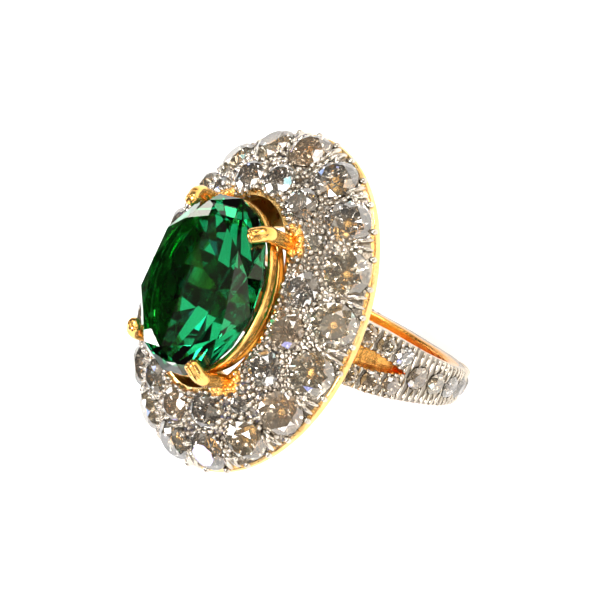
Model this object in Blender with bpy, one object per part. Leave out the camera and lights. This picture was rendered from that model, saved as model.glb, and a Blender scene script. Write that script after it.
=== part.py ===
"""Cocktail ring: an oval green centre stone in a gold four-claw basket, on a domed oval
head pave-set with two rows of clear round stones, over a gold rim plate and a split shank.

Frame: the origin is the centre of the finger hole, +Y runs along the finger, +Z points
from the finger to the centre stone and +X runs across the finger. Units are metres."""

import math

import bmesh
import bpy
import numpy as np
from mathutils import Matrix, Vector

MM = 0.001

# Shank
FINGER_R = 8.65 * MM
SHANK_R = 10.4 * MM
SHANK_TOP_Z = 10.1 * MM
SHANK_STATIONS = 108
SHANK_CHAMFER = 0.22 * MM
SHANK_WIDTH = {0: 2.2, 40: 2.5, 65: 3.0, 90: 3.8, 118: 5.0, 140: 5.4, 180: 5.4}
SHOULDER_ANGLE = 125
SLOT_START = 104.3
SLOT_END = 122.0
SLOT_STATIONS = 80
SLOT_HALF = 0.75 * MM
SLOT_FLOOR_R = FINGER_R + 0.55 * MM

# Gold rim plate under the head
RIM_A = 11.6 * MM
RIM_B = 13.8 * MM
RIM_BOTTOM_Z = 10.15 * MM
RIM_TOP_Z = 10.85 * MM
RIM_CHAMFER = 0.12 * MM
PLATE_HOLE_A = 4.4 * MM
PLATE_HOLE_B = 6.2 * MM

# Domed head, as the distance in from the dome's edge and the height at it
DOME_A = 11.5 * MM
DOME_B = 13.7 * MM
DOME_OUTSIDE = [(0.0, 10.9), (0.3, 11.25), (0.75, 11.7), (1.35, 12.2), (2.0, 12.67),
                (2.7, 13.1), (3.4, 13.46), (4.15, 13.78), (5.0, 14.07), (5.85, 14.3)]
DOME_INSIDE = [(5.85, 13.1), (4.6, 12.65), (3.2, 12.05), (2.2, 11.4), (1.6, 10.9)]
DOME_STEPS = 84

# Pave stones on the dome. A row is its count, distance in from the dome's edge, height
# and tilt in degrees. Every fourth stone of the inner row is smaller and further out, to
# make room for a claw
OUTER_ROW = (18, 1.35 * MM, 12.2 * MM, 40)
OUTER_FIRST = 0.5
OUTER_R = 1.74 * MM
INNER_ROW = (16, 4.15 * MM, 13.78 * MM, 22)
INNER_FIRST = 0.0
INNER_R = 1.45 * MM
BESIDE_CLAW_ROW = (16, 3.5 * MM, 13.5 * MM, 26)
BESIDE_CLAW_R = 0.8 * MM
GIRDLE_LIFT = 0.16 * MM

# Beads raised from the dome, two between neighbours in a row: how far up or down the slope
# from the row's line, the radius and the height over the metal
OUTER_BEAD = (1.02 * MM, 0.46 * MM, 0.5 * MM)
INNER_BEAD = (0.88 * MM, 0.4 * MM, 0.42 * MM)

# Centre stone
STONE_A = 6.2 * MM
STONE_B = 7.2 * MM
GIRDLE_Z = 16.6 * MM
GIRDLE_H = 0.16 * MM
CROWN_H = 1.3 * MM
PAVILION_H = 5.2 * MM
TABLE_SHARE = 0.77

# Basket
CLAW_ANGLE = 50
CLAW_R = 0.56 * MM
CLAW_GAP = 0.05 * MM
CLAW_FOOT_Z = 13.3 * MM
CLAW_LEAN = -0.25 * MM
UPPER_RAIL = [(0.06, 15.95), (0.06, 15.2), (0.85, 15.2), (0.5, 15.95)]
LOWER_RAIL = [(0.78, 14.35), (0.78, 13.6), (1.6, 13.6), (1.6, 14.35)]

# Stones of the shank: the angle from the bottom of the shank, the offset along the finger
SHANK_STONES = [(128, 1.72), (128, -1.72), (118, 1.5), (118, -1.5), (108.5, 1.24),
                (108.5, -1.24), (97.5, 0.0), (85.5, 0.0), (73.5, 0.0), (61.5, 0.0),
                (49.5, 0.0), (37.5, 0.0)]
SHANK_STONES_MODELLED = 8
ARM_STONE_R = 0.8 * MM
ROW_STONE_R = 0.95 * MM
SEAT_GAP = 0.04 * MM
SEAT_STEPS = 18
SEAT_TURN = 0.11
BEAD_STEPS = 10
BEAD_TURN = 0.07

GOLD = ((0.86, 0.52, 0.18, 1.0), 0.2, 1.0)
RHODIUM = ((0.78, 0.76, 0.74, 1.0), 0.18, 1.0)
CLEAR_STONE = ((0.82, 0.8, 0.78, 1.0), 0.05, 0.0)
GREEN_STONE = ((0.0, 0.2, 0.07, 1.0), 0.04, 0.0)


def material(name, look):
    made = bpy.data.materials.get(name)
    if made:
        return made
    colour, roughness, metallic = look
    made = bpy.data.materials.new(name)
    made.use_nodes = True
    shader = made.node_tree.nodes["Principled BSDF"]
    shader.inputs["Base Color"].default_value = colour
    shader.inputs["Roughness"].default_value = roughness
    shader.inputs["Metallic"].default_value = metallic
    made.diffuse_color = colour
    return made


def object_of(name, bm, look_name, look, smooth=False):
    """A scene object from the bmesh, with its normals facing out."""
    bmesh.ops.recalc_face_normals(bm, faces=bm.faces)
    mesh = bpy.data.meshes.new(name)
    bm.to_mesh(mesh)
    bm.free()
    made = bpy.data.objects.new(name, mesh)
    bpy.context.scene.collection.objects.link(made)
    mesh.materials.append(material(look_name, look))
    mesh.polygons.foreach_set("use_smooth", [smooth] * len(mesh.polygons))
    return made


def cutter_of(name, bm):
    made = object_of(name, bm, "cutter", RHODIUM)
    made.hide_render = True
    made.display_type = "WIRE"
    return made


def cut(target, cutter, operation="DIFFERENCE"):
    modifier = target.modifiers.new("cut_" + cutter.name, "BOOLEAN")
    modifier.operation = operation
    modifier.solver = "EXACT"
    modifier.object = cutter


def ring_of_sections(sections):
    """A closed loop of closed sections, each a list of points, skinned into one tube."""
    bm = bmesh.new()
    rows = [[bm.verts.new(point) for point in section] for section in sections]
    for row, after in zip(rows, rows[1:] + rows[:1]):
        for i in range(len(row)):
            j = (i + 1) % len(row)
            bm.faces.new((row[i], row[j], after[j], after[i]))
    return bm


def bar_of_sections(sections):
    """An open run of closed sections with a flat face at each end."""
    bm = bmesh.new()
    rows = [[bm.verts.new(point) for point in section] for section in sections]
    for row, after in zip(rows, rows[1:]):
        for i in range(len(row)):
            j = (i + 1) % len(row)
            bm.faces.new((row[i], row[j], after[j], after[i]))
    bm.faces.new(rows[0])
    bm.faces.new(list(reversed(rows[-1])))
    return bm


def oval_point(a, b, turn):
    return Vector((a * math.cos(turn), b * math.sin(turn), 0.0))


def oval_normal(a, b, turn):
    return Vector((math.cos(turn) / a, math.sin(turn) / b, 0.0)).normalized()


def even_turns(a, b, count, first=0.0):
    """Parameters of an oval at equal distances round it, from first steps past +X."""
    fine = np.linspace(0.0, 2.0 * math.pi, 4001)
    steps = np.hypot(np.diff(a * np.cos(fine)), np.diff(b * np.sin(fine)))
    run = np.concatenate([[0.0], np.cumsum(steps)])
    return [float(t) for t in np.interp(run[-1] * (np.arange(count) + first) / count, run, fine)]


def oval_ring(a, b, profile, steps):
    """A ring whose section is a profile of (distance in from the oval, height) in mm."""
    sections = []
    for k in range(steps):
        turn = 2.0 * math.pi * k / steps
        sections.append([oval_point(a - d * MM, b - d * MM, turn) + Vector((0, 0, z * MM))
                         for d, z in profile])
    return ring_of_sections(sections)


def brilliant(a, b, table, crown, girdle, pavilion, star=0.84, lower=0.26):
    """A brilliant cut on an oval outline: octagonal table, stars, kites and halves above
    the girdle, mains and halves below it. The girdle is centred on z = 0."""
    bm = bmesh.new()
    half = girdle / 2.0
    tilt = math.cos(math.radians(22.5))

    def ring(count, share, z, first):
        turns = [math.radians(first + 360.0 * k / count) for k in range(count)]
        return [bm.verts.new(oval_point(a * share, b * share, t) + Vector((0, 0, z)))
                for t in turns]

    star_z = half + crown * (1.0 - star * tilt) / (1.0 - table)
    lower_z = -half - pavilion * (1.0 - lower * tilt)
    top = ring(8, table, half + crown, 0.0)
    stars = ring(8, star, star_z, 22.5)
    upper = ring(16, 1.0, half, 0.0)
    under = ring(16, 1.0, -half, 0.0)
    halves = ring(8, lower, lower_z, 22.5)
    culet = bm.verts.new((0.0, 0.0, -half - pavilion))
    bm.faces.new(top)
    for k in range(8):
        after = (k + 1) % 8
        before = (k - 1) % 8
        g0, g1, g2 = 2 * k, 2 * k + 1, (2 * k + 2) % 16
        bm.faces.new((top[k], stars[k], top[after]))
        bm.faces.new((top[k], stars[before], upper[g0], stars[k]))
        bm.faces.new((stars[k], upper[g0], upper[g1]))
        bm.faces.new((stars[k], upper[g1], upper[g2]))
        bm.faces.new((upper[g0], under[g0], under[g1], upper[g1]))
        bm.faces.new((upper[g1], under[g1], under[g2], upper[g2]))
        bm.faces.new((halves[k], under[g1], under[g0]))
        bm.faces.new((halves[k], under[g2], under[g1]))
        bm.faces.new((culet, halves[before], under[g0], halves[k]))
    return bm


def pave_stone(name, radius, place):
    bm = brilliant(radius, radius, 0.58, 0.32 * radius, 0.06 * radius, 0.86 * radius, 0.78)
    made = object_of(name, bm, "clear_stone", CLEAR_STONE)
    made.matrix_world = place
    return made


def seat_into(bm, radius, place, above):
    """Adds a seat's shape to the cutter: a cone under the stone and a bore over it."""
    wide = radius + SEAT_GAP
    depth = 0.86 * radius + 3.0 * SEAT_GAP
    rim = [place @ Vector((wide * math.cos(t), wide * math.sin(t), -0.03 * radius - SEAT_GAP))
           for t in SEAT_TURN + np.linspace(0.0, 2.0 * math.pi, SEAT_STEPS, endpoint=False)]
    lift = place.to_3x3() @ Vector((0.0, 0.0, above))
    low = [bm.verts.new(point) for point in rim]
    high = [bm.verts.new(point + lift) for point in rim]
    tip = bm.verts.new(place @ Vector((0.0, 0.0, -depth)))
    for i in range(SEAT_STEPS):
        j = (i + 1) % SEAT_STEPS
        bm.faces.new((low[i], low[j], high[j], high[i]))
        bm.faces.new((tip, low[j], low[i]))
    bm.faces.new(high)


def standing(point, normal, along):
    """The placement whose z runs along the normal and whose x is nearest to along."""
    z = normal.normalized()
    y = z.cross(along).normalized()
    return Matrix.Translation(point) @ Matrix((y.cross(z), y, z)).transposed().to_4x4()


def dome_row(count, inset, height, tilt, first, lift=GIRDLE_LIFT):
    """Placements along a row on the dome, leaning out by the tilt in degrees. The first is
    that many pitches past +X."""
    a, b = DOME_A - inset, DOME_B - inset
    rows = []
    for turn in even_turns(a, b, count, first):
        out = oval_normal(a, b, turn)
        lean = math.radians(tilt)
        normal = out * math.sin(lean) + Vector((0, 0, math.cos(lean)))
        point = oval_point(a, b, turn) + Vector((0, 0, height)) + normal * lift
        rows.append(standing(point, normal, Vector((-out.y, out.x, 0.0))))
    return rows


def bead_into(bm, place, side, radius, height):
    """Adds one bead, off the placement's origin by side along its y."""
    turns = BEAD_TURN + np.linspace(0.0, 2.0 * math.pi, BEAD_STEPS, endpoint=False)
    rings = []
    for wide, up in ((radius, -0.5 * MM), (radius, 0.45 * height),
                     (0.72 * radius, 0.85 * height)):
        rings.append([bm.verts.new(place @ Vector((wide * math.cos(t),
                                                   side + wide * math.sin(t), up)))
                      for t in turns])
    tip = bm.verts.new(place @ Vector((0.0, side, height)))
    for i in range(BEAD_STEPS):
        j = (i + 1) % BEAD_STEPS
        for low, high in zip(rings, rings[1:]):
            bm.faces.new((low[i], low[j], high[j], high[i]))
        bm.faces.new((rings[-1][i], rings[-1][j], tip))
    bm.faces.new(list(reversed(rings[0])))


def dome_beads():
    """Round-topped beads, two between each pair of neighbours in a row of stones."""
    bm = bmesh.new()
    for row, (offset, radius, height) in (
            (dome_row(*OUTER_ROW, OUTER_FIRST - 0.5, 0.0), OUTER_BEAD),
            (dome_row(*INNER_ROW, INNER_FIRST - 0.5, 0.0), INNER_BEAD)):
        for place in row:
            bead_into(bm, place, offset, radius, height)
            bead_into(bm, place, -offset, radius, height)
    return bm


def shank_half_width(angle):
    knots = sorted(SHANK_WIDTH)
    widths = [SHANK_WIDTH[k] for k in knots]
    return float(np.interp(abs(angle), knots, widths)) * MM / 2.0


def shank_outside(angle):
    """Radius of the shank's outside at an angle from its bottom: a circle, then a straight
    shoulder that leaves it on the tangent, then the flat that carries the head."""
    angle = abs(angle)
    radius = SHANK_R
    if angle > SHOULDER_ANGLE:
        radius = SHANK_R / math.cos(math.radians(angle - SHOULDER_ANGLE))
    rise = -math.cos(math.radians(angle))
    if rise * radius > SHANK_TOP_Z:
        radius = SHANK_TOP_Z / rise
    return radius


def shank_point(angle, radius, y):
    """+X side for a positive angle from the bottom of the shank."""
    turn = math.radians(angle - 90.0)
    return Vector((radius * math.cos(turn), y, radius * math.sin(turn)))


def shank_body():
    sections = []
    edge = SHANK_CHAMFER
    for k in range(SHANK_STATIONS):
        angle = 360.0 * k / SHANK_STATIONS - 180.0
        wide = shank_half_width(angle)
        out = shank_outside(angle)
        corners = [(FINGER_R, wide - edge), (FINGER_R + edge, wide), (out - edge, wide),
                   (out, wide - edge), (out, edge - wide), (out - edge, -wide),
                   (FINGER_R + edge, -wide), (FINGER_R, edge - wide)]
        sections.append([shank_point(angle, r, y) for r, y in corners])
    return ring_of_sections(sections)


def shank_slot():
    """The groove that splits the shank into two rails, down to a thin floor by the finger."""
    sections = []
    for angle in np.linspace(SLOT_START, 360.0 - SLOT_START, SLOT_STATIONS):
        share = min(angle - SLOT_START, 360 - SLOT_START - angle) / (SLOT_END - SLOT_START)
        half = SLOT_HALF * min(1.0, max(share, 0.02)) ** 0.8
        corners = [(SLOT_FLOOR_R, half), (SHANK_R + 5 * MM, half),
                   (SHANK_R + 5 * MM, -half), (SLOT_FLOOR_R, -half)]
        sections.append([shank_point(angle, r, y) for r, y in corners])
    return bar_of_sections(sections)


def shank_stone_places():
    places = []
    for side in (1, -1):
        for i, (angle, offset) in enumerate(SHANK_STONES):
            radius = ARM_STONE_R if i < 6 else ROW_STONE_R
            out = shank_outside(angle)
            point = shank_point(angle * side, out + 0.05 * MM, offset * MM)
            normal = shank_point(min(angle, SHOULDER_ANGLE) * side, 1.0, 0.0)
            places.append((side, i, radius, standing(point, normal, Vector((0, 1, 0)))))
    return places


def build_shank():
    body = object_of("shank", shank_body(), "gold", GOLD)
    cut(body, cutter_of("slot_cutter", shank_slot()))
    seats = bmesh.new()
    for side, i, radius, place in shank_stone_places():
        seat_into(seats, radius, place, 1.0 * MM)
        if i < SHANK_STONES_MODELLED:
            side_name = "right" if side > 0 else "left"
            pave_stone(f"shank_stone_{side_name}_{i + 1}", radius, place)
    cut(body, cutter_of("shank_seat_cutter", seats))


def build_rim_plate():
    edge = RIM_CHAMFER
    profile = ((PLATE_HOLE_A, PLATE_HOLE_B, RIM_BOTTOM_Z),
               (RIM_A - edge, RIM_B - edge, RIM_BOTTOM_Z),
               (RIM_A, RIM_B, RIM_BOTTOM_Z + edge),
               (RIM_A, RIM_B, RIM_TOP_Z - edge),
               (RIM_A - edge, RIM_B - edge, RIM_TOP_Z),
               (PLATE_HOLE_A, PLATE_HOLE_B, RIM_TOP_Z))
    sections = []
    for k in range(DOME_STEPS):
        turn = 2.0 * math.pi * k / DOME_STEPS
        sections.append([oval_point(a, b, turn) + Vector((0, 0, z)) for a, b, z in profile])
    object_of("gold_rim_plate", ring_of_sections(sections), "gold", GOLD)


def claw_path(turn):
    """Centre line of a claw: up from the dome, past the girdle and over the crown."""
    out = oval_normal(STONE_A, STONE_B, turn)
    edge = oval_point(STONE_A, STONE_B, turn)
    slope = math.atan2(CROWN_H, (1.0 - TABLE_SHARE) * (STONE_A + STONE_B) / 2.0)
    reach = CLAW_R + CLAW_GAP
    over = Vector((math.sin(slope), 0.0, math.cos(slope))) * (reach + 0.03 * MM)
    top = GIRDLE_Z + GIRDLE_H / 2.0
    run = [(reach + CLAW_LEAN, CLAW_FOOT_Z), (reach + CLAW_LEAN, CLAW_FOOT_Z + 0.7 * MM),
           (reach, top - 0.35 * MM), (reach + 0.02 * MM, top - 0.05 * MM),
           (over.x, top + over.z)]
    for inward in (0.45 * MM, 0.95 * MM):
        run.append((over.x - inward, top + over.z + inward * math.tan(slope)))
    return [edge + out * d + Vector((0, 0, z)) for d, z in run], out


def claw_mesh(turn, spare):
    path, out = claw_path(turn)
    sections = []
    side = Vector((-out.y, out.x, 0.0))
    for k, point in enumerate(path):
        before = path[max(k - 1, 0)]
        after = path[min(k + 1, len(path) - 1)]
        along = (after - before).normalized()
        across = side.cross(along).normalized()
        radius = CLAW_R * (1.0 if k < len(path) - 1 else 0.72) + spare
        if spare and k in (0, len(path) - 1):
            point = point + along * (spare if k else -spare)
        sections.append([point + (side * math.cos(t) + across * math.sin(t)) * radius
                         for t in np.linspace(0, 2 * math.pi, 14, endpoint=False)])
    return bar_of_sections(sections)


def build_basket():
    """The rails and claws of the basket; returns the cutters that clear the claws."""
    turns = [math.radians(t) for t in (CLAW_ANGLE, 180 - CLAW_ANGLE, 180 + CLAW_ANGLE,
                                       360 - CLAW_ANGLE)]
    clearances = []
    for k, turn in enumerate(turns):
        object_of(f"claw_{k + 1}", claw_mesh(turn, 0.0), "gold", GOLD, smooth=True)
        clearances.append(cutter_of(f"claw_cutter_{k + 1}", claw_mesh(turn, SEAT_GAP)))
    for name, profile in (("basket_upper_rail", UPPER_RAIL), ("basket_lower_rail", LOWER_RAIL)):
        rail = object_of(name, oval_ring(STONE_A, STONE_B, profile, 64), "gold", GOLD)
        for clearance in clearances:
            cut(rail, clearance)
    return clearances


def build_head(clearances):
    profile = DOME_OUTSIDE + DOME_INSIDE
    dome = object_of("pave_dome", oval_ring(DOME_A, DOME_B, profile, DOME_STEPS),
                     "rhodium", RHODIUM)
    cut(dome, cutter_of("dome_beads", dome_beads()), "UNION")
    stones = [(f"pave_outer_{k + 1}", OUTER_R, place)
              for k, place in enumerate(dome_row(*OUTER_ROW, OUTER_FIRST))]
    beside_claws = dome_row(*BESIDE_CLAW_ROW, INNER_FIRST)
    for k, place in enumerate(dome_row(*INNER_ROW, INNER_FIRST)):
        if k % 4 == 2:
            stones.append((f"pave_inner_{k + 1}", BESIDE_CLAW_R, beside_claws[k]))
        else:
            stones.append((f"pave_inner_{k + 1}", INNER_R, place))
    seats = bmesh.new()
    for name, radius, place in stones:
        pave_stone(name, radius, place)
        seat_into(seats, radius, place, 1.2 * MM)
    cut(dome, cutter_of("dome_seat_cutter", seats))
    for clearance in clearances:
        cut(dome, clearance)


def build_centre_stone():
    bm = brilliant(STONE_A, STONE_B, TABLE_SHARE, CROWN_H, GIRDLE_H, PAVILION_H, 0.9, 0.3)
    stone = object_of("centre_stone", bm, "green_stone", GREEN_STONE)
    stone.location.z = GIRDLE_Z


def main():
    for old in list(bpy.data.objects):
        bpy.data.objects.remove(old)
    build_shank()
    build_rim_plate()
    build_head(build_basket())
    build_centre_stone()


main()
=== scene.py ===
"""Looks of the cocktail ring: cut stones, beads, fishtail posts, claws, polished gold and
rhodium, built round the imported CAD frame. Units are metres in the CAD's own frame: +Y runs
along the finger, +Z from the finger to the centre stone."""

import math

import bpy
import numpy as np
from mathutils import Matrix, Vector


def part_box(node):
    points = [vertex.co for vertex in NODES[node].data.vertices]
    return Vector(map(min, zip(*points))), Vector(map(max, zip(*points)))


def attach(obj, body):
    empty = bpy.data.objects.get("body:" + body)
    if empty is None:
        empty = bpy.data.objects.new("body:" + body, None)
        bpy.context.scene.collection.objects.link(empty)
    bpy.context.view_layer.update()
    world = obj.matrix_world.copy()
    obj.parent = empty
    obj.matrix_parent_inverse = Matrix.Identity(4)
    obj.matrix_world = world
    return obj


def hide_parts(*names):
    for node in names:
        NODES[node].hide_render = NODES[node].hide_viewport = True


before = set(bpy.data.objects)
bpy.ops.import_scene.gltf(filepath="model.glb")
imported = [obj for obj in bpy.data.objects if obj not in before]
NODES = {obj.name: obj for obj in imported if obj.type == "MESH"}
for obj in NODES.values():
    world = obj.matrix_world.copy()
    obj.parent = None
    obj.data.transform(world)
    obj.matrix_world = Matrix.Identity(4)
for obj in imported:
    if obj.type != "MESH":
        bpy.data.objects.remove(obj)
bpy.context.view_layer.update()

MM = 0.001

# Camera
AIM = Vector((-3.19, 0.58, 2.99)) * MM
CAMERA_AZIMUTH = 100.4
CAMERA_ELEVATION = 45.4
CAMERA_ROLL = 72.2
CAMERA_DISTANCE = 180 * MM
CAMERA_LENS = 133.1

# Surroundings: broad panels and small glints, as brightness over the cells' random value
PANEL_SCALE = 1.5
PANEL_TONES = [(0.0, (0.02, 0.018, 0.016)), (0.5, (0.06, 0.055, 0.05)),
               (0.64, (0.4, 0.37, 0.32)), (0.78, (1.4, 1.3, 1.15)), (0.92, (2.6, 2.45, 2.2))]
PATCH_SCALE = 6.5
PATCH_TONES = [(0.0, (0.05, 0.05, 0.05)), (0.5, (0.8, 0.76, 0.7)), (1.0, (2.6, 2.55, 2.5))]
SURROUND_TURN = (0, 0, 60)
GLINT_SCALE = 9.0
GLINT_FROM = 0.9
GLINT_TONES = [(0.0, (2.4, 1.8, 6.0)), (0.14, (1.6, 5.0, 5.4)), (0.24, (8.0, 8.0, 8.0)),
               (1.0, (8.2, 7.8, 7.0))]


# ---------------------------------------------------------------- mesh helpers

class Shape:
    """Points and faces of one piece, gathered from several closed shapes."""

    def __init__(self):
        self.points = []
        self.faces = []
        self.count = 0

    def add(self, points, faces):
        points = np.asarray(points, float).reshape(-1, 3)
        self.points.append(points)
        self.faces.extend([tuple(int(i) + self.count for i in face) for face in faces])
        self.count += len(points)

    def all_points(self):
        return np.concatenate(self.points)


def piece(name, shape, look, nodes=(), smooth=True, sharp=None):
    """Makes a piece of the ring, riding on its one body and standing for its CAD nodes."""
    mesh = bpy.data.meshes.new(name)
    mesh.from_pydata([tuple(p) for p in shape.all_points()], [], shape.faces)
    mesh.materials.append(look)
    mesh.polygons.foreach_set("use_smooth", [smooth] * len(mesh.polygons))
    if sharp:
        mesh.set_sharp_from_angle(angle=math.radians(sharp))
    made = bpy.data.objects.new(name, mesh)
    bpy.context.scene.collection.objects.link(made)
    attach(made, "root")
    if nodes:
        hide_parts(*nodes)
    return made


def unit(v):
    v = np.asarray(v, float)
    return v / np.linalg.norm(v, axis=-1, keepdims=True)


def direction(azimuth, elevation):
    """Where something stands, seen from the ring: azimuth 0 is towards -Y."""
    a, e = math.radians(azimuth), math.radians(elevation)
    return Vector((math.sin(a) * math.cos(e), -math.cos(a) * math.cos(e), math.sin(e)))


def tube_faces(rows, columns, closed):
    """Quads between rows of points; each row is a closed loop. closed joins the last row
    to the first, otherwise both ends are capped."""
    faces = []
    last = rows if closed else rows - 1
    for i in range(last):
        for j in range(columns):
            a = i * columns + j
            b = i * columns + (j + 1) % columns
            c = ((i + 1) % rows) * columns + (j + 1) % columns
            d = ((i + 1) % rows) * columns + j
            faces.append((a, d, c, b))
    if not closed:
        faces.append(tuple(range(columns)))
        faces.append(tuple(reversed(range((rows - 1) * columns, rows * columns))))
    return faces


def turned_over(faces):
    return [tuple(reversed(face)) for face in faces]


def smooth_path(points, per_span):
    """A Catmull-Rom curve through the points."""
    pts = [np.asarray(p, float) for p in points]
    pts = [2 * pts[0] - pts[1]] + pts + [2 * pts[-1] - pts[-2]]
    out = []
    for k in range(1, len(pts) - 2):
        a, b, c, d = pts[k - 1:k + 3]
        for t in np.linspace(0, 1, per_span, endpoint=False):
            out.append(0.5 * ((2 * b) + (c - a) * t + (2 * a - 5 * b + 4 * c - d) * t * t
                              + (3 * b - a - 3 * c + d) * t ** 3))
    out.append(pts[-2])
    return np.array(out)


def blob(place, size, sink, around=16, up=6, taper=0.0):
    """A rounded bead, or an oval bar when its sizes differ, standing on its placement's
    z = 0 and running sink below it. With a taper its +x end is narrower."""
    rx, ry, rz = size
    points = []
    levels = [(1.0, -sink)] + [(math.cos(t), rz * math.sin(t))
                               for t in np.linspace(0, 0.5 * math.pi * (up - 0.5) / up, up)]
    for share, z in levels:
        for t in np.linspace(0, 2 * math.pi, around, endpoint=False):
            x = share * math.cos(t)
            points.append(place @ Vector((rx * x, ry * share * math.sin(t) * (1 - taper * x), z)))
    return points, turned_over(tube_faces(len(levels), around, False))


def standing(point, normal, along):
    """A placement at the point, with z up the normal and x as near as can be to along."""
    z = Vector(normal).normalized()
    y = z.cross(Vector(along)).normalized()
    x = y.cross(z)
    return Matrix.Translation(Vector(point)) @ Matrix((x, y, z)).transposed().to_4x4()


# A round stone's cut, as shares of its radius
ROUND_TABLE = 0.58
ROUND_CROWN = 0.32
ROUND_GIRDLE = 0.06
ROUND_PAVILION = 0.86
ROUND_STAR = 0.78
ROUND_LOWER = 0.26


def brilliant(a, b, table, crown, girdle, pavilion, star, lower):
    """A brilliant cut on an oval outline: octagonal table, stars, kites and halves above
    the girdle, mains and halves below it. The girdle is centred on z = 0."""
    half = girdle / 2
    tilt = math.cos(math.radians(22.5))
    points = []

    def ring(count, share, z, first):
        start = len(points)
        for k in range(count):
            t = math.radians(first + 360.0 * k / count)
            points.append((a * share * math.cos(t), b * share * math.sin(t), z))
        return list(range(start, start + count))

    top = ring(8, table, half + crown, 0.0)
    stars = ring(8, star, half + crown * (1 - star * tilt) / (1 - table), 22.5)
    upper = ring(16, 1.0, half, 0.0)
    under = ring(16, 1.0, -half, 0.0)
    halves = ring(8, lower, -half - pavilion * (1 - lower * tilt), 22.5)
    culet = len(points)
    points.append((0.0, 0.0, -half - pavilion))
    faces = [tuple(top)]
    for k in range(8):
        after, before = (k + 1) % 8, (k - 1) % 8
        g0, g1, g2 = 2 * k, 2 * k + 1, (2 * k + 2) % 16
        faces.append((top[k], stars[k], top[after]))
        faces.append((top[k], stars[before], upper[g0], stars[k]))
        faces.append((stars[k], upper[g0], upper[g1]))
        faces.append((stars[k], upper[g1], upper[g2]))
        faces.append((upper[g0], under[g0], under[g1], upper[g1]))
        faces.append((upper[g1], under[g1], under[g2], upper[g2]))
        faces.append((halves[k], under[g1], under[g0]))
        faces.append((halves[k], under[g2], under[g1]))
        faces.append((culet, halves[before], under[g0], halves[k]))
    return np.array(points), faces


# ---------------------------------------------------------------- materials

MIX_FACTOR, MIX_A, MIX_B = 0, 6, 7   # a colour mix node's inputs
MIX_RESULT = 2
NOISE_LOW, NOISE_HIGH = 0.3, 0.7     # a noise's middle range


def nodes_of(look):
    look.use_nodes = True
    tree = look.node_tree
    return tree, tree.nodes["Principled BSDF"]


def add(tree, kind, **settings):
    node = tree.nodes.new(kind)
    for key, value in settings.items():
        if hasattr(node, key):
            setattr(node, key, value)
        else:
            node.inputs[key.replace("_", " ")].default_value = value
    return node


def noise(tree, scale, detail=4.0, roughness=0.6, distortion=0.0, stretch=(1, 1, 1)):
    place = add(tree, "ShaderNodeTexCoord")
    mapping = add(tree, "ShaderNodeMapping")
    mapping.inputs["Scale"].default_value = stretch
    tree.links.new(place.outputs["Object"], mapping.inputs["Vector"])
    made = add(tree, "ShaderNodeTexNoise", Scale=scale, Detail=detail, Roughness=roughness,
               Distortion=distortion)
    tree.links.new(mapping.outputs["Vector"], made.inputs["Vector"])
    return made.outputs["Fac"]


def ramp(tree, value, stops):
    made = add(tree, "ShaderNodeValToRGB")
    elements = made.color_ramp.elements
    while len(elements) < len(stops):
        elements.new(0.5)
    for element, (at, colour) in zip(elements, stops):
        element.position = at
        element.color = (*colour, 1)
    tree.links.new(value, made.inputs["Fac"])
    return made.outputs["Color"]


def spread(tree, value, low, high):
    """A noise's middle range, spread over low to high."""
    made = add(tree, "ShaderNodeMapRange")
    made.inputs["From Min"].default_value = NOISE_LOW
    made.inputs["From Max"].default_value = NOISE_HIGH
    made.inputs["To Min"].default_value = low
    made.inputs["To Max"].default_value = high
    tree.links.new(value, made.inputs["Value"])
    return made.outputs["Result"]


def bump(tree, shader, height, strength, distance):
    made = add(tree, "ShaderNodeBump", Strength=strength, Distance=distance)
    tree.links.new(height, made.inputs["Height"])
    tree.links.new(made.outputs["Normal"], shader.inputs["Normal"])
    return made


def mix(tree, first, second, blend="MIX", share=None):
    """A colour mix of two outputs, at full strength or by the share that an output gives."""
    made = add(tree, "ShaderNodeMix", data_type="RGBA", blend_type=blend)
    made.inputs[MIX_FACTOR].default_value = 1.0
    if share:
        tree.links.new(share, made.inputs[MIX_FACTOR])
    tree.links.new(first, made.inputs[MIX_A])
    tree.links.new(second, made.inputs[MIX_B])
    return made.outputs[MIX_RESULT]


METAL_GRAIN = 1600
TONE_GRAIN = 0.35 * METAL_GRAIN
LINE_STRENGTH = 0.12
LINE_DEPTH = 0.03 * MM
PIT_SCALE = 2600
PIT_DEPTH = 0.08 * MM


def metal(name, stops, low, high, pits=0.0):
    """A polished metal: changing tone, roughness between low and high, fine polishing lines
    and, if asked for, pits."""
    look = bpy.data.materials.new(name)
    tree, shader = nodes_of(look)
    shader.inputs["Metallic"].default_value = 1.0
    tree.links.new(ramp(tree, noise(tree, TONE_GRAIN, 3), stops), shader.inputs["Base Color"])
    tree.links.new(spread(tree, noise(tree, METAL_GRAIN, 5), low, high), shader.inputs["Roughness"])
    lines = noise(tree, METAL_GRAIN, 3, 0.6, 0.3, (1.0, 9.0, 1.0))
    first = bump(tree, shader, lines, LINE_STRENGTH, LINE_DEPTH)
    if pits:
        second = bump(tree, shader, noise(tree, PIT_SCALE, 4, 0.7), pits, PIT_DEPTH)
        tree.links.new(first.outputs["Normal"], second.inputs["Normal"])
    return look


def clear_stone(name, stops, ior, clarity, grain=420, detail=4):
    """A polished stone; below full clarity a little of it scatters, as a film of wear does."""
    look = bpy.data.materials.new(name)
    tree, shader = nodes_of(look)
    shader.inputs["Roughness"].default_value = 0.0
    shader.inputs["IOR"].default_value = ior
    shader.inputs["Transmission Weight"].default_value = clarity
    tree.links.new(ramp(tree, noise(tree, grain, detail, 0.6), stops), shader.inputs["Base Color"])
    return look


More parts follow.
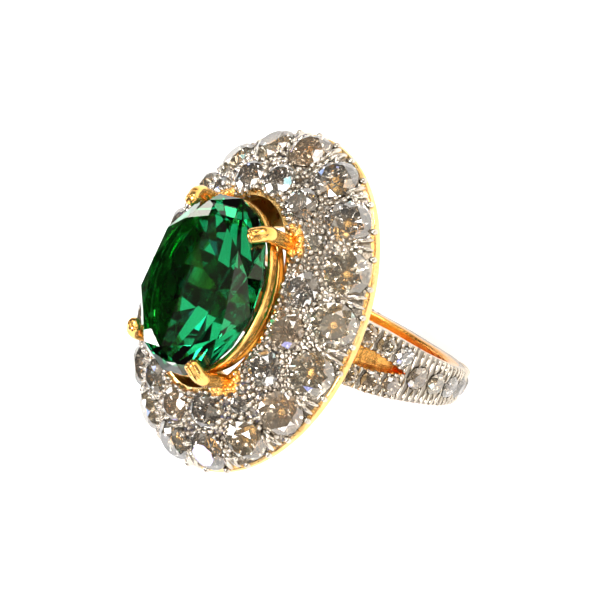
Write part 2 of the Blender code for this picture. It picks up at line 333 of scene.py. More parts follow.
GOLD = metal("polished_gold", [(0.3, (0.8, 0.38, 0.07)), (0.7, (0.98, 0.6, 0.19))], 0.12, 0.3,
             pits=0.1)
PALE_GOLD = metal("pale_gold", [(0.3, (0.76, 0.46, 0.15)), (0.7, (0.94, 0.68, 0.32))], 0.2, 0.4)
RHODIUM = metal("rhodium_plate", [(0.3, (0.42, 0.37, 0.31)), (0.7, (0.68, 0.62, 0.54))],
                0.06, 0.22, pits=0.15)
PAVE = [clear_stone("pave_stone_warm", [(0.3, (0.88, 0.74, 0.55)), (0.7, (1.0, 0.94, 0.8))],
                    2.1, 0.94),
        clear_stone("pave_stone_cool", [(0.3, (0.82, 0.74, 0.64)), (0.7, (1.0, 0.96, 0.9))],
                    2.2, 0.96),
        clear_stone("pave_stone_champagne", [(0.3, (0.78, 0.6, 0.42)), (0.7, (1.0, 0.87, 0.7))],
                    2.1, 0.92)]
GREEN = clear_stone("green_stone", [(0.3, (0.003, 0.25, 0.085)), (0.7, (0.01, 0.355, 0.125))],
                    1.62, 1.0, 160, 1)


# ---------------------------------------------------------------- reading the CAD frame

def cad_points(node):
    co = np.empty(len(NODES[node].data.vertices) * 3)
    NODES[node].data.vertices.foreach_get("co", co)
    return np.unique(np.round(co.reshape(-1, 3), 8), axis=0)


def stone_of(node):
    """(centre of the girdle, axis, radius) of a round stone's CAD node: it is thinnest
    along its axis, and the culet is the only point on it."""
    points = cad_points(node)
    middle = points.mean(0)
    axis = np.linalg.svd(points - middle)[2][2]
    along = (points - middle) @ axis
    off = np.linalg.norm(points - middle - np.outer(along, axis), axis=1)
    if along[np.argmin(off)] > 0:
        axis, along = -axis, -along
    rim = along[off > off.max() * 0.999]
    return middle + axis * rim.mean(), axis, off.max()


def sides_of(axis):
    """The level direction round the head, for a stone whose axis leans outward."""
    out = unit(np.array([axis[0], axis[1], 0.0]))
    return np.array([-out[1], out[0], 0.0])


OUTER_COUNT = 18
INNER_COUNT = 16
OUTER = [stone_of(f"pave_outer_{k + 1}") for k in range(OUTER_COUNT)]
INNER = [stone_of(f"pave_inner_{k + 1}") for k in range(INNER_COUNT)]
dome_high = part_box("pave_dome")[1]
rim_low, rim_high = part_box("gold_rim_plate")
stone_low, stone_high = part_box("centre_stone")
shank_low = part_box("shank")[0]


# ---------------------------------------------------------------- domed head

DOME_TURNS = 720
DOME_OUTSIDE = [(0.0, 10.9), (0.3, 11.25), (0.75, 11.7), (1.35, 12.2), (2.0, 12.67),
                (2.7, 13.1), (3.4, 13.46), (4.15, 13.78), (5.0, 14.07), (5.85, 14.3)]
DOME_INSIDE = [(5.85, 13.1), (4.6, 12.65), (3.2, 12.05), (2.2, 11.4), (1.6, 10.9)]
DOME_LINE = smooth_path(DOME_OUTSIDE, 9) * MM   # the outside, as insets from the edge and heights
BRIDGE = 0.12 * MM        # how far the metal between the stones stands above that line
BRIDGE_FROM = 12          # the first of the line's points that is lifted
BRIDGE_LEFT = 4           # how many points at its upper end aren't
WORKED_FROM = 9           # the first point that carries the graver's marks
WORKED_LEFT = 3
GILT_LEFT = 5             # how many points at its upper end are gilded
SEAT_GAP = 0.05 * MM
WAVE = 0.016 * MM         # height of the graver's marks
SCALLOP_Z = 10.97 * MM    # the height where the plating ends
SCALLOP_RISE = 0.16 * MM
SCALLOP_BLUR = 0.05 * MM


def sink_seats(points, stones, gap):
    """Pushes the points of a fine surface down into a cone of 45 degrees under each stone."""
    for centre, axis, radius in stones:
        near = np.linalg.norm(points - centre, axis=1) < radius * 1.6
        rel = points[near] - centre
        up = rel @ axis
        off = np.linalg.norm(rel - np.outer(up, axis), axis=1)
        inside = off < radius + gap
        floor = -0.06 * radius - (radius + gap - off)
        move = np.where(inside & (up > floor), floor - up, 0.0)
        points[near] += np.outer(move, axis)
    return points


def hammered(points):
    """Small height changes left by the graver."""
    x, y = points[:, 0] / MM, points[:, 1] / MM
    waves = (np.sin(9.1 * x + 3.3 * y) + np.sin(-4.7 * x + 8.3 * y + 1.1)
             + np.sin(12.9 * x - 6.1 * y + 2.2) + np.sin(5.2 * x + 14.3 * y + 0.4))
    return waves * WAVE


def dome_surface(x, y):
    """(point, normal, inset) on the dome over each plan position."""
    a, b = dome_high.x, dome_high.y
    low = np.full(len(x), -0.3 * MM)
    high = np.full(len(x), 6.5 * MM)
    for _ in range(30):
        middle = (low + high) / 2
        beyond = (x / (a - middle)) ** 2 + (y / (b - middle)) ** 2 > 1
        high = np.where(beyond, middle, high)
        low = np.where(beyond, low, middle)
    inset = (low + high) / 2
    z = np.interp(inset, DOME_LINE[:, 0], DOME_LINE[:, 1])
    rise = np.interp(inset, DOME_LINE[:, 0], np.gradient(DOME_LINE[:, 1], DOME_LINE[:, 0]))
    out = unit(np.stack([x / (a - inset) ** 2, y / (b - inset) ** 2, np.zeros(len(x))], axis=1))
    normal = unit(out * rise[:, None] + np.array([0.0, 0.0, 1.0]))
    return np.stack([x, y, z], axis=1), normal, inset


def build_dome():
    a, b = dome_high.x, dome_high.y
    profile = np.concatenate([DOME_LINE, np.array(DOME_INSIDE) * MM])
    top_count = len(DOME_LINE)
    lift = np.zeros(len(profile))
    lift[BRIDGE_FROM:top_count - BRIDGE_LEFT] = BRIDGE
    turns = np.linspace(0, 2 * math.pi, DOME_TURNS, endpoint=False)
    cos, sin = np.cos(turns)[:, None], np.sin(turns)[:, None]
    d, z = profile[:, 0][None], (profile[:, 1] + lift)[None]
    points = np.stack([(a - d) * cos, (b - d) * sin, np.repeat(z, DOME_TURNS, 0)], axis=2)
    shape = Shape()
    flat = points.reshape(-1, 3)
    columns = len(profile)
    column = np.tile(np.arange(columns), DOME_TURNS)
    top = column < top_count
    worked = (column >= WORKED_FROM) & (column < top_count - WORKED_LEFT)
    flat[worked, 2] += hammered(flat[worked])
    flat[top] = sink_seats(flat[top], OUTER + INNER, SEAT_GAP)
    shape.add(flat, tube_faces(DOME_TURNS, columns, True))
    # The rhodium here is the metal's colour darkened well below the beads' rhodium: painted shade in
    # the gaps between the stones and beads. The gold is the gold's own colour.
    look = plated_look("shade_painted_rhodium_over_pale_gold",
                       [(0.3, (0.2, 0.17, 0.14)), (0.7, (0.5, 0.44, 0.37))],
                       [(0.3, (0.74, 0.44, 0.14)), (0.7, (0.93, 0.66, 0.3))])
    made = piece("dome_metal", shape, look, ["pave_dome"], sharp=40)
    wave = 0.5 + 0.5 * np.cos(np.repeat(turns, columns) * OUTER_COUNT)
    edge = SCALLOP_Z + SCALLOP_RISE * wave ** 1.5
    gilt = np.clip((edge - flat[:, 2]) / SCALLOP_BLUR, 0, 1)
    gilt[column >= top_count - GILT_LEFT] = 1.0
    gild(made, gilt)


def gild(made, shares):
    """Writes how bare of plating each point of a piece is, 0 to 1, for plated_look to read."""
    paint = made.data.attributes.new("gilding", "FLOAT", "POINT")
    paint.data.foreach_set("value", shares)


def plated_look(name, plating, gilt):
    """Rhodium over gold: the gold shows where the piece's gilding says so."""
    look = metal(name, plating, 0.08, 0.3, pits=0.4)
    tree = look.node_tree
    shader = tree.nodes["Principled BSDF"]
    white = shader.inputs["Base Color"].links[0].from_socket
    yellow = ramp(tree, noise(tree, TONE_GRAIN, 3), gilt)
    mark = add(tree, "ShaderNodeAttribute", attribute_name="gilding")
    mixed = mix(tree, white, yellow, share=mark.outputs["Fac"])
    tree.links.new(mixed, shader.inputs["Base Color"])
    return look


BEAD_STEP = 0.62 * MM      # spacing of the beads round a stone
BEAD_OUT = 0.1 * MM
BEAD_OVERLAP = 0.08 * MM   # how far a bead's middle may reach over a stone
BEAD_CROWDING = 0.86       # closest two beads stand, as a share of their sizes together
BEAD_SINK = 0.3 * MM
BEAD_RAISED = 0.12 * MM    # height added to every bead
BEADED = (0.5 * MM, 5.6 * MM)   # insets from the dome's edge
FILLING_TRIES = 9000
CLAW_CLEARING = 1.1 * MM
POST_FOOT_Z = 10.98 * MM
POST_HEAD_Z = 12.3 * MM
POST_REACH = 1.25 * MM     # how far in from the edge a post's head lies
POST_FORK = (0.42 * MM, 0.16 * MM)   # half the gap of a fork, at the edge and at the head
POST_BREADTH = 0.24 * MM
POST_HEIGHT = 0.42 * MM
POST_SINK = 0.5 * MM
EDGE_BEAD_OUT = 1.08 * MM  # from a fork's middle to the bead on each side of it
EDGE_BEAD = (0.26 * MM, 0.34 * MM, 0.3 * MM)


def bead_spots(draw):
    """Where beads stand on the dome: round every stone's girdle, then in the space left."""
    centres = np.array([stone[0] for stone in OUTER + INNER])
    radii = np.array([stone[2] for stone in OUTER + INNER])
    tries = []
    for centre, axis, radius in OUTER + INNER:
        along = sides_of(axis)
        across = np.cross(axis, along)
        count = max(6, int(round(2 * math.pi * radius / BEAD_STEP)))
        first = draw.uniform(0, 2 * math.pi)
        for k in range(count):
            t = first + 2 * math.pi * k / count + draw.uniform(-0.06, 0.06)
            reach = radius + BEAD_OUT
            spot = centre + (along * math.cos(t) + across * math.sin(t)) * reach
            tries.append((spot[0], spot[1], draw.uniform(0.22, 0.32) * MM))
    for _ in range(FILLING_TRIES):
        turn, share = draw.uniform(0, 2 * math.pi), draw.uniform(0.05, 0.5)
        tries.append(((dome_high.x * (1 - share)) * math.cos(turn),
                      (dome_high.y * (1 - share)) * math.sin(turn),
                      draw.uniform(0.17, 0.27) * MM))
    tries = np.array(tries)
    points, normals, insets = dome_surface(tries[:, 0], tries[:, 1])
    claws = np.array([oval(math.radians(t), 0.4 * MM) for t in CLAW_TURNS])
    kept = []
    for point, normal, inset, size in zip(points, normals, insets, tries[:, 2]):
        if not BEADED[0] < inset < BEADED[1]:
            continue
        if (np.linalg.norm(centres - point, axis=1) < radii - BEAD_OVERLAP).any():
            continue
        if (np.linalg.norm((claws - point)[:, :2], axis=1) < CLAW_CLEARING).any():
            continue
        if any(np.linalg.norm(point - other[0]) < (size + other[2]) * BEAD_CROWDING
               for other in kept):
            continue
        kept.append((point, normal, size))
    return kept


def build_beads():
    """Beads that hold the stones of the head."""
    beads = Shape()
    draw = np.random.default_rng(7)
    for point, normal, size in bead_spots(draw):
        along = unit(np.cross(normal, draw.normal(0, 1, 3)))
        height = size * draw.uniform(1.1, 1.5) + BEAD_RAISED
        sizes = (size * draw.uniform(1.0, 1.3), size, height)
        beads.add(*blob(standing(point, normal, along), sizes, BEAD_SINK, 12, 5))
    piece("dome_beads", beads, RHODIUM, sharp=50)


def build_posts():
    """A forked post between each two stones at the head's edge, with a bead on each side."""
    posts = Shape()
    a, b = dome_high.x, dome_high.y
    for first, second in zip(OUTER, OUTER[1:] + OUTER[:1]):
        centre = (first[0] + second[0]) / 2
        flat = sides_of(unit(first[1] + second[1]))
        out = np.array([flat[1], -flat[0], 0.0])
        turn = math.atan2(centre[1] / b, centre[0] / a)
        edge = np.array([a * math.cos(turn), b * math.sin(turn), POST_FOOT_Z])
        for side in (1, -1):
            outer = edge + flat * side * POST_FORK[0] + out * 0.02 * MM
            inner = edge - out * POST_REACH + flat * side * POST_FORK[1]
            inner[2] = POST_HEAD_Z
            lean = unit(outer - inner)
            normal = unit(np.cross(lean, flat))
            normal = normal if normal[2] > 0 else -normal
            place = standing((outer + inner) / 2, normal, lean)
            sizes = (np.linalg.norm(outer - inner) / 2, POST_BREADTH, POST_HEIGHT)
            posts.add(*blob(place, sizes, POST_SINK, 20, 6))
        for side in (-1, 1):
            spot = edge + flat * side * EDGE_BEAD_OUT - out * 0.08 * MM
            at, normal, _ = dome_surface(spot[:1], spot[1:2])
            place = standing(at[0] + normal[0] * 0.02 * MM, normal[0], flat)
            posts.add(*blob(place, EDGE_BEAD, BEAD_SINK, 12, 5))
    piece("dome_edge_posts", posts, RHODIUM, sharp=50)


def set_stone(name, draw, centre, axis, along, radius, wobble, nodes):
    """A round clear stone in its seat, a little off true and turned at random."""
    tip = unit(axis + draw.normal(0, wobble, 3))
    turn = Matrix.Rotation(draw.uniform(0, math.pi), 4, "Z")
    place = standing(centre, tip, along) @ turn
    points, faces = brilliant(radius, radius, ROUND_TABLE, ROUND_CROWN * radius,
                              ROUND_GIRDLE * radius, ROUND_PAVILION * radius, ROUND_STAR, ROUND_LOWER)
    shape = Shape()
    shape.add([place @ Vector(p) for p in points], faces)
    look = PAVE[int(draw.integers(len(PAVE)))]
    piece(name, shape, look, nodes, smooth=False)


def build_stones():
    draw = np.random.default_rng(3)
    for name, row in (("outer", OUTER), ("inner", INNER)):
        for k, (centre, axis, radius) in enumerate(row):
            set_stone(f"{name}_stone_{k + 1}", draw, centre, axis, sides_of(axis), radius, 0.035,
                      [f"pave_{name}_{k + 1}"])


# ---------------------------------------------------------------- gold rim plate

PLATE_HOLE_A = 4.4 * MM
PLATE_HOLE_B = 6.2 * MM
PLATE_EDGE = 0.12 * MM     # how far the plate thins towards its hole, on each face


def build_rim():
    """The plate under the dome: a rounded outer edge that waves with the outer stones."""
    a, b = rim_high.x, rim_high.y
    low, high = rim_low.z, rim_high.z
    steps = 360
    rows = []
    for k in range(steps):
        turn = 2 * math.pi * k / steps
        cos, sin = math.cos(turn), math.sin(turn)
        wave = 0.02 * MM * math.cos(turn * OUTER_COUNT)
        loop = []
        for da, z in ((0.55, low), (0.22, low + 0.02 * MM), (0.06, low + 0.1 * MM),
                      (0.0, low + 0.22 * MM), (0.0, high - 0.24 * MM + wave),
                      (0.05, high - 0.1 * MM + wave), (0.2, high - 0.02 * MM),
                      (0.5, high)):
            loop.append(((a - da * MM) * cos, (b - da * MM) * sin, z))
        for z in (high - PLATE_EDGE, low + PLATE_EDGE):
            loop.append((PLATE_HOLE_A * cos, PLATE_HOLE_B * sin, z))
        rows.append(loop)
    shape = Shape()
    shape.add(np.array(rows).reshape(-1, 3), tube_faces(steps, len(rows[0]), True))
    piece("rim_plate", shape, PALE_GOLD, ["gold_rim_plate"], sharp=40)


# ---------------------------------------------------------------- centre stone and basket

CROWN_H = 1.3 * MM
GIRDLE_H = 0.16 * MM
TABLE_SHARE = 0.77
CLAW_ANGLE = 50
CLAW_TURNS = (CLAW_ANGLE, 180 - CLAW_ANGLE, 180 + CLAW_ANGLE, 360 - CLAW_ANGLE)
CLAW_R = 0.56 * MM
CLAW_GAP = 0.05 * MM
CLAW_FOOT_Z = 13.3 * MM
CLAW_LEAN = -0.25 * MM
CLAW_BREADTH = 1.12        # breadth over depth
CLAW_GROOVE = 0.62         # depth of the groove, as a share of the claw's radius
GROOVE_ANGLE = 0.3
CLAW_TIP_STATIONS = 4      # stations over which the tip rounds off
FOOT_LUMPS = 16            # rounded lumps of gold worked round each claw's foot
RAIL_ROUNDING = 0.32
UPPER_RAIL = [(0.06, 15.95), (0.06, 15.2), (0.85, 15.2), (0.5, 15.95)]
LOWER_RAIL = [(0.78, 14.35), (0.78, 13.6), (1.6, 13.6), (1.6, 14.35)]
STONE_A, STONE_B = stone_high.x, stone_high.y
GIRDLE_Z = stone_high.z - CROWN_H - GIRDLE_H / 2


def build_centre_stone():
    pavilion = GIRDLE_Z - GIRDLE_H / 2 - stone_low.z
    points, faces = brilliant(STONE_A, STONE_B, TABLE_SHARE, CROWN_H, GIRDLE_H, pavilion,
                              0.9, 0.3)
    shape = Shape()
    shape.add(points + np.array([0, 0, GIRDLE_Z]), faces)
    piece("green_centre_stone", shape, GREEN, ["centre_stone"], smooth=False)


def oval(turn, grow=0.0):
    """A point of the centre stone's girdle, or of an oval that much larger."""
    return np.array([(STONE_A + grow) * math.cos(turn), (STONE_B + grow) * math.sin(turn), 0.0])


def oval_out(turn):
    """The level direction straight out from the girdle."""
    return unit(np.array([math.cos(turn) / STONE_A, math.sin(turn) / STONE_B, 0.0]))


def build_claw(number, turn):
    """A claw grooved along the side that faces the stone, with a rounded tip, rising from
    a worked mass of gold on the dome."""
    out = oval_out(turn)
    edge = oval(turn)
    side = np.array([-out[1], out[0], 0.0])
    slope = math.atan2(CROWN_H, (1 - TABLE_SHARE) * (STONE_A + STONE_B) / 2)
    reach = CLAW_R + CLAW_GAP
    over = np.array([math.sin(slope), math.cos(slope)]) * (reach + 0.03 * MM)
    top = GIRDLE_Z + GIRDLE_H / 2
    run = [(reach + CLAW_LEAN, CLAW_FOOT_Z), (reach + CLAW_LEAN, CLAW_FOOT_Z + 0.7 * MM),
           (reach - 0.02 * MM, top - 0.5 * MM), (reach + 0.02 * MM, top - 0.05 * MM),
           (over[0], top + over[1]),
           (over[0] - 0.45 * MM, top + over[1] + 0.45 * MM * math.tan(slope)),
           (over[0] - 0.95 * MM, top + over[1] + 0.95 * MM * math.tan(slope))]
    path = smooth_path([edge + out * d + np.array([0, 0, z]) for d, z in run], 7)
    around = 40
    turns = np.linspace(0, 2 * math.pi, around, endpoint=False)
    draw = np.random.default_rng(20 + number)
    facing = np.arccos(np.clip(-np.sin(turns), -1, 1))
    last = len(path) - 1
    rows = []
    swell = 0.0
    for k, point in enumerate(path):
        along = unit(path[min(k + 1, last)] - path[max(k - 1, 0)])
        across = unit(np.cross(side, along))
        left = last - k
        tip = math.sqrt(1 - (1 - min(left, CLAW_TIP_STATIONS) / CLAW_TIP_STATIONS) ** 2)
        swell = 0.7 * swell + draw.uniform(-0.015, 0.015)
        radius = CLAW_R * max(tip, 0.25) * (1 + swell)
        groove = CLAW_GROOVE * min(1.0, (left + 1) / 5) * min(1.0, k / 3)
        cut = 1 - groove * np.exp(-(facing / GROOVE_ANGLE) ** 2)
        rows.append(point + (np.outer(np.cos(turns), side) * CLAW_BREADTH
                             + np.outer(np.sin(turns), across)) * (radius * cut)[:, None])
    shape = Shape()
    shape.add(np.array(rows).reshape(-1, 3), turned_over(tube_faces(len(rows), around, False)))
    foot = edge + out * (reach + CLAW_LEAN)
    for _ in range(FOOT_LUMPS):
        t = draw.uniform(-1.9, 1.9)
        far = draw.uniform(0.5, 1.05) * MM
        spot = foot + (out * math.cos(t) + side * math.sin(t) * 1.25) * far
        at, normal, _ = dome_surface(spot[:1], spot[1:2])
        size = draw.uniform(0.26, 0.42) * MM
        place = standing(at[0], unit(normal[0] + draw.normal(0, 0.25, 3)), side)
        sizes = (size * draw.uniform(1.0, 1.5), size, size * 1.3)
        shape.add(*blob(place, sizes, 0.4 * MM, 12, 5))
    piece(f"grooved_claw_{number}", shape, GOLD, [f"claw_{number}"], sharp=60)


def build_rail(name, node, profile):
    """A rail of the basket: a bar round the stone, its corners rounded and its width slightly
    uneven. The profile gives insets from the girdle and heights, in millimetres."""
    steps = 240
    draw = np.random.default_rng(11)
    waves = [(draw.integers(9, 40), draw.uniform(0, 6.3), draw.uniform(0.004, 0.012))
             for _ in range(5)]
    corners = np.array(profile)
    loop = []
    for k in range(len(corners)):
        a, b, c = corners[k - 1], corners[k], corners[(k + 1) % len(corners)]
        for t in np.linspace(0, 1, 5):
            loop.append(b + (a - b) * RAIL_ROUNDING * (1 - t) ** 2
                        + (c - b) * RAIL_ROUNDING * t ** 2)
    loop = np.array(loop) * MM
    middle = loop.mean(0)
    rows = []
    for k in range(steps):
        turn = 2 * math.pi * k / steps
        swell = 1 + sum(s * math.sin(n * turn + p) for n, p, s in waves)
        ring = middle + (loop - middle) * min(swell, 1.0)
        rows.append([oval(turn, -d) + np.array([0, 0, z]) for d, z in ring])
    shape = Shape()
    shape.add(np.array(rows).reshape(-1, 3), tube_faces(steps, len(loop), True))
    piece(name, shape, GOLD, [node], sharp=40)


def build_basket():
    for k, degrees in enumerate(CLAW_TURNS):
        build_claw(k + 1, math.radians(degrees))
    build_rail("upper_rail", "basket_upper_rail", UPPER_RAIL)
    build_rail("lower_rail", "basket_lower_rail", LOWER_RAIL)


# ---------------------------------------------------------------- shank

FINGER_R = 8.65 * MM
SHANK_R = 10.4 * MM
SHANK_TOP_Z = 10.1 * MM
# Millimetres wide at each angle, counted from the bottom of the ring
SHANK_WIDTH = {0: 2.2, 40: 2.5, 65: 3.0, 90: 3.8, 118: 5.0, 140: 5.4, 180: 5.4}
SHOULDER_ANGLE = 125
SLOT_START = 104.3
SLOT_END = 122.0
SLOT_HALF = 0.75 * MM
SLOT_FLOOR_R = FINGER_R + 0.55 * MM
# Angle from the bottom and millimetres along the finger: the arms' stones, then the single row
SHANK_STONES = [(128, 1.72), (128, -1.72), (118, 1.5), (118, -1.5), (108.5, 1.24),
                (108.5, -1.24), (97.5, 0.0), (85.5, 0.0), (73.5, 0.0), (61.5, 0.0),
                (49.5, 0.0), (37.5, 0.0)]
ARM_STONES = 6
STONES_IN_CAD = 8
SHANK_SEAT_GAP = 0.04 * MM
SHANK_EDGE = 0.08 * MM
BAR_BREADTH = 0.18 * MM
BAR_HEIGHT = 0.22 * MM
BAR_SINK = 0.35 * MM
BAR_OVER_EDGE = 0.06 * MM   # how far a bar starts outside the face's edge
BAR_OVER_STONE = 0.12 * MM
SHORTEST_BAR = 0.16 * MM
ROW_BARS = (31.5, 103.5, 3.4)    # first angle, where they stop, step
ARM_BARS = (105.5, 147.0, 3.1)
ARM_STONE_R = 0.8 * MM
ROW_STONE_R = 0.95 * MM


def shank_half_width(angle):
    knots = sorted(SHANK_WIDTH)
    return np.interp(abs(angle), knots, [SHANK_WIDTH[k] for k in knots]) * MM / 2


def shank_outside(angle):
    angle = abs(angle)
    radius = SHANK_R
    if angle > SHOULDER_ANGLE:
        radius = SHANK_R / math.cos(math.radians(angle - SHOULDER_ANGLE))
    rise = -math.cos(math.radians(angle))
    if rise * radius > SHANK_TOP_Z:
        radius = SHANK_TOP_Z / rise
    return radius


def shank_point(angle, radius, y):
    turn = math.radians(angle - 90.0)
    return np.array([radius * math.cos(turn), y, radius * math.sin(turn)])


def shank_stones():
    """(side, number from 0, point, outward direction, radius) of every stone of the shank."""
    stones = []
    for side in (1, -1):
        for i, (angle, offset) in enumerate(SHANK_STONES):
            radius = ARM_STONE_R if i < ARM_STONES else ROW_STONE_R
            point = shank_point(angle * side, shank_outside(angle) + 0.05 * MM, offset * MM)
            normal = shank_point(min(angle, SHOULDER_ANGLE) * side, 1.0, 0.0)
            stones.append((side, i, point, normal, radius))
    return stones


def slot_half(angle):
    share = min(angle - SLOT_START, 360 - SLOT_START - angle) / (SLOT_END - SLOT_START)
    return SLOT_HALF * min(1.0, max(share, 0.0)) ** 0.8


def band(shape, angles, edges, stones, across, slot_side=0):
    """Adds a stretch of the shank between two edges, gold inside and with seats outside, and
    returns its gilding. The wall on the slot's side, +1 or -1 along the finger, is gold to
    the top."""
    rows = []
    marks = []
    face = np.linspace(-1, 1, across)
    high_wall = 1.0 if slot_side > 0 else 0.0
    low_wall = 1.0 if slot_side < 0 else 0.0
    for angle in angles:
        low, high = edges(angle)
        middle, half = (low + high) / 2, (high - low) / 2
        out = shank_outside(angle if angle <= 180 else 360 - angle)
        round_in = min(0.35 * MM, half * 0.6)
        loop = []
        for t in np.linspace(0, 0.5 * math.pi, 5):
            loop.append((FINGER_R + round_in * (1 - math.sin(t)) * 0.6,
                         middle + half - round_in * (1 - math.cos(t))))
        split = 0.5 * (out + FINGER_R)
        ring = [(r, y, 1.0) for r, y in loop[::-1]]
        ring.append((split - SHANK_EDGE, middle + half, 1.0))
        ring.append((split + SHANK_EDGE, middle + half, high_wall))
        ring.append((out - SHANK_EDGE, middle + half, high_wall))
        for f in face[::-1]:
            ring.append((out, middle + f * (half - SHANK_EDGE), 0.0))
        ring.append((out - SHANK_EDGE, middle - half, low_wall))
        ring.append((split + SHANK_EDGE, middle - half, low_wall))
        ring.append((split - SHANK_EDGE, middle - half, 1.0))
        ring.extend([(r, 2 * middle - y, 1.0) for r, y in loop])
        rows.append([shank_point(angle, r, y) for r, y, gilt in ring])
        marks.append([gilt for r, y, gilt in ring])
    flat = np.array(rows).reshape(-1, 3)
    mark = np.array(marks).reshape(-1)
    plated = mark < 0.5
    flat[plated] = sink_seats(flat[plated], stones, SHANK_SEAT_GAP)
    shape.add(flat, tube_faces(len(angles), len(rows[0]), False))
    return mark


def whole_band(angle):
    return -shank_half_width(angle), shank_half_width(angle)


def far_arm(angle):
    return slot_half(angle), shank_half_width(min(angle, 360 - angle))


def near_arm(angle):
    low, high = far_arm(angle)
    return -high, -low


def build_shank():
    """The band below the slot, the two arms over it and the thin floor between them."""
    stones = [(point, unit(normal), radius)
              for side, i, point, normal, radius in shank_stones()]
    below = np.linspace(-SLOT_START, SLOT_START, 480)
    arms = np.linspace(SLOT_START, 360 - SLOT_START, 420)
    shape = Shape()
    marks = [band(shape, below, whole_band, stones, 26),
             band(shape, arms, far_arm, stones, 16, -1),
             band(shape, arms, near_arm, stones, 16, 1)]
    rows = []
    for angle in arms:
        half = slot_half(angle) + 0.06 * MM
        low = FINGER_R + 0.1 * MM
        high = SLOT_FLOOR_R + 0.008 * MM * math.sin(angle * 0.37) * math.sin(angle * 0.9)
        section = ((low, half), (high, half), (high - 0.02 * MM, 0.3 * half), (high, -half),
                   (low, -half))
        rows.append([shank_point(angle, r, y) for r, y in section])
    shape.add(np.array(rows).reshape(-1, 3), turned_over(tube_faces(len(rows), 5, False)))
    marks.append(np.ones(len(rows) * 5))
    # The rhodium here is the metal's colour darkened well below the bars' rhodium: painted shade on
    # the face between the stones and bars. The gold inside is the gold's own colour.
    look = plated_look("shade_painted_rhodium_over_deep_gold",
                       [(0.3, (0.13, 0.11, 0.09)), (0.7, (0.4, 0.35, 0.29))],
                       [(0.3, (0.72, 0.33, 0.07)), (0.7, (0.88, 0.45, 0.12))])
    made = piece("shank_metal", shape, look, ["shank"], sharp=40)
    gild(made, np.concatenate(marks))


def build_shank_stones():
    draw = np.random.default_rng(5)
    for side, i, point, normal, radius in shank_stones():
        name = "right" if side > 0 else "left"
        nodes = [f"shank_stone_{name}_{i + 1}"] if i < STONES_IN_CAD else []
        set_stone(f"shank_{name}_stone_{i + 1}", draw, point, unit(normal), (0, 1, 0), radius,
                  0.03, nodes)


def fishtail_bar(side, angle, edge, end):
    """A tapered bar on the shank's outside, from an edge of the face inward to end."""
    out = shank_outside(angle)
    start = edge + math.copysign(BAR_OVER_EDGE, edge - end)
    point = shank_point(angle * side, out - 0.03 * MM, (start + end) / 2)
    normal = shank_point(min(angle, SHOULDER_ANGLE) * side, 1.0, 0.0)
    inward = (0, 1, 0) if end > edge else (0, -1, 0)
    sizes = (abs(start - end) / 2, BAR_BREADTH, BAR_HEIGHT)
    return blob(standing(point, normal, inward), sizes, BAR_SINK, 16, 5, 0.5)


def build_shank_fishtails():
    """Cut-down bars side by side, reaching in from both edges of the face to the stones."""
    shape = Shape()
    draw = np.random.default_rng(9)
    single = SHANK_STONES[ARM_STONES:]
    pairs = {1: SHANK_STONES[0:ARM_STONES:2], -1: SHANK_STONES[1:ARM_STONES:2]}
    for side in (1, -1):
        for angle in np.arange(*ROW_BARS):
            away = math.radians(min(abs(stone[0] - angle) for stone in single)) * SHANK_R
            end = SHORTEST_BAR
            if away < ROW_STONE_R:
                end = math.sqrt(ROW_STONE_R ** 2 - away ** 2) - BAR_OVER_STONE
            edge = shank_half_width(angle)
            end = max(end * draw.uniform(0.95, 1.1), SHORTEST_BAR)
            if edge - end > SHORTEST_BAR:
                shape.add(*fishtail_bar(side, angle, edge, end))
                shape.add(*fishtail_bar(side, angle + 0.5, -edge, -end))
        for hand, row in pairs.items():
            for angle in np.arange(*ARM_BARS):
                near, offset = min(row, key=lambda stone: abs(stone[0] - angle))
                away = math.radians(abs(near - angle)) * SHANK_R
                middle = abs(offset) * MM
                gap = 0.1 * MM
                if away < ARM_STONE_R:
                    gap = max(math.sqrt(ARM_STONE_R ** 2 - away ** 2) - BAR_OVER_STONE, gap)
                outer, inner = shank_half_width(angle), slot_half(angle)
                for edge, end in ((outer, middle + gap), (inner, middle - gap)):
                    if abs(edge - end) > SHORTEST_BAR and (edge - end) * (edge - middle) > 0:
                        shape.add(*fishtail_bar(side, angle, hand * edge, hand * end))
    piece("shank_fishtails", shape, RHODIUM, sharp=60)


# ---------------------------------------------------------------- studio

FLOOR_R = 2.5
FLOOR_DROP = 0.02 * MM
FLOOR_GLOW = 0.45
SOFTBOX_DISTANCE = 0.5


def build_floor():
    """A pale round floor just under the shank. It isn't part of the ring."""
    mesh = bpy.data.meshes.new("floor")
    steps = 64
    turns = [2 * math.pi * k / steps for k in range(steps)]
    points = [(FLOOR_R * math.cos(turn), FLOOR_R * math.sin(turn), shank_low.z - FLOOR_DROP)
              for turn in turns]
    mesh.from_pydata(points, [], [tuple(range(steps))])
    look = bpy.data.materials.new("pale_floor")
    tree, shader = nodes_of(look)
    tone = ramp(tree, noise(tree, 60, 3), [(0.3, (0.86, 0.86, 0.855)), (0.7, (0.9, 0.9, 0.895))])
    tree.links.new(tone, shader.inputs["Base Color"])
    tree.links.new(spread(tree, noise(tree, 300, 3), 0.5, 0.7), shader.inputs["Roughness"])
    shader.inputs["Emission Color"].default_value = (1, 1, 1, 1)
    shader.inputs["Emission Strength"].default_value = FLOOR_GLOW
    mesh.materials.append(look)
    floor = bpy.data.objects.new("floor", mesh)
    bpy.context.scene.collection.objects.link(floor)


def softbox(name, azimuth, elevation, size, power):
    data = bpy.data.lights.new(name, "AREA")
    data.shape = "RECTANGLE"
    data.size, data.size_y = size
    data.energy = power
    light = bpy.data.objects.new(name, data)
    back = direction(azimuth, elevation)
    light.location = back * SOFTBOX_DISTANCE
    light.rotation_mode = "QUATERNION"
    light.rotation_quaternion = back.to_track_quat("Z", "Y")
    bpy.context.scene.collection.objects.link(light)


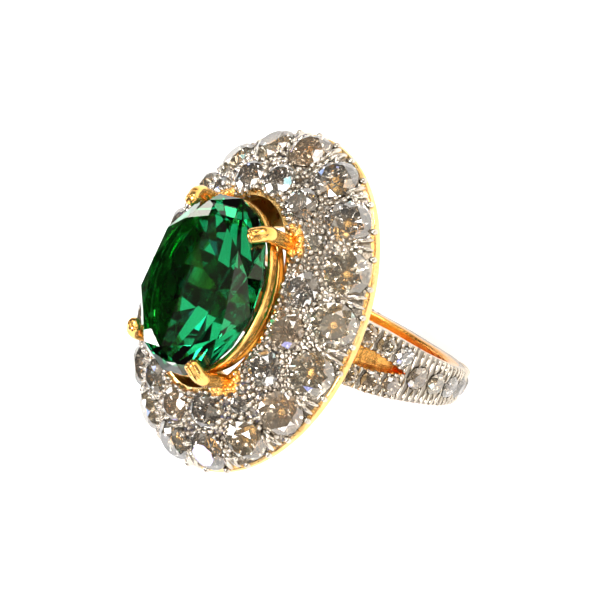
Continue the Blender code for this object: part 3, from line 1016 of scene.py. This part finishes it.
def build_world():
    """Studio surroundings: dark with broad pale panels and a few small bright glints. The
    camera itself sees plain white."""
    world = bpy.data.worlds.new("studio")
    bpy.context.scene.world = world
    world.use_nodes = True
    tree = world.node_tree
    background = tree.nodes["Background"]
    place = add(tree, "ShaderNodeTexCoord")
    turned = add(tree, "ShaderNodeMapping")
    turned.inputs["Rotation"].default_value = [math.radians(t) for t in SURROUND_TURN]
    tree.links.new(place.outputs["Generated"], turned.inputs["Vector"])

    def cells(scale):
        made = add(tree, "ShaderNodeTexVoronoi", Scale=scale)
        tree.links.new(turned.outputs["Vector"], made.inputs["Vector"])
        split = add(tree, "ShaderNodeSeparateColor")
        tree.links.new(made.outputs["Color"], split.inputs["Color"])
        return split

    broad = ramp(tree, cells(PANEL_SCALE).outputs["Red"], PANEL_TONES)
    patches = ramp(tree, cells(PATCH_SCALE).outputs["Red"], PATCH_TONES)
    panels = mix(tree, broad, patches, "MULTIPLY")
    small = cells(GLINT_SCALE)
    lit = ramp(tree, small.outputs["Green"], [(0.0, (0, 0, 0)), (GLINT_FROM, (0, 0, 0)),
                                              (GLINT_FROM + 0.02, (1, 1, 1)), (1.0, (1, 1, 1))])
    hue = ramp(tree, small.outputs["Blue"], GLINT_TONES)
    surround = mix(tree, panels, mix(tree, lit, hue, "MULTIPLY"), "ADD")
    white = add(tree, "ShaderNodeRGB").outputs["Color"]
    white.default_value = (1, 1, 1, 1)
    seen = add(tree, "ShaderNodeLightPath").outputs["Is Camera Ray"]
    tree.links.new(mix(tree, surround, white, share=seen), background.inputs["Color"])
    background.inputs["Strength"].default_value = 1.0


def build_camera():
    turn = math.radians(CAMERA_AZIMUTH)
    back = direction(CAMERA_AZIMUTH, CAMERA_ELEVATION)
    right = Vector((math.cos(turn), math.sin(turn), 0.0))
    up = back.cross(right)
    roll = math.radians(CAMERA_ROLL)
    x = right * math.cos(roll) - up * math.sin(roll)
    y = up * math.cos(roll) + right * math.sin(roll)
    data = bpy.data.cameras.new("camera")
    data.lens = CAMERA_LENS
    data.sensor_width = 36
    data.clip_start, data.clip_end = 0.005, 20
    camera = bpy.data.objects.new("camera", data)
    camera.matrix_world = Matrix.Translation(AIM + back * CAMERA_DISTANCE) @ Matrix(
        (x, y, back)).transposed().to_4x4()
    bpy.context.scene.collection.objects.link(camera)
    bpy.context.scene.camera = camera


build_camera()
build_floor()
build_world()
softbox("key", 60, 62, (0.12, 0.12), 1.6)
softbox("fill", 170, 35, (0.15, 0.15), 0.8)
softbox("side", 300, 30, (0.06, 0.25), 0.8)
build_dome()
build_beads()
build_posts()
build_stones()
build_rim()
build_centre_stone()
build_basket()
build_shank()
build_shank_stones()
build_shank_fishtails()
bpy.context.scene.view_settings.view_transform = "Standard"
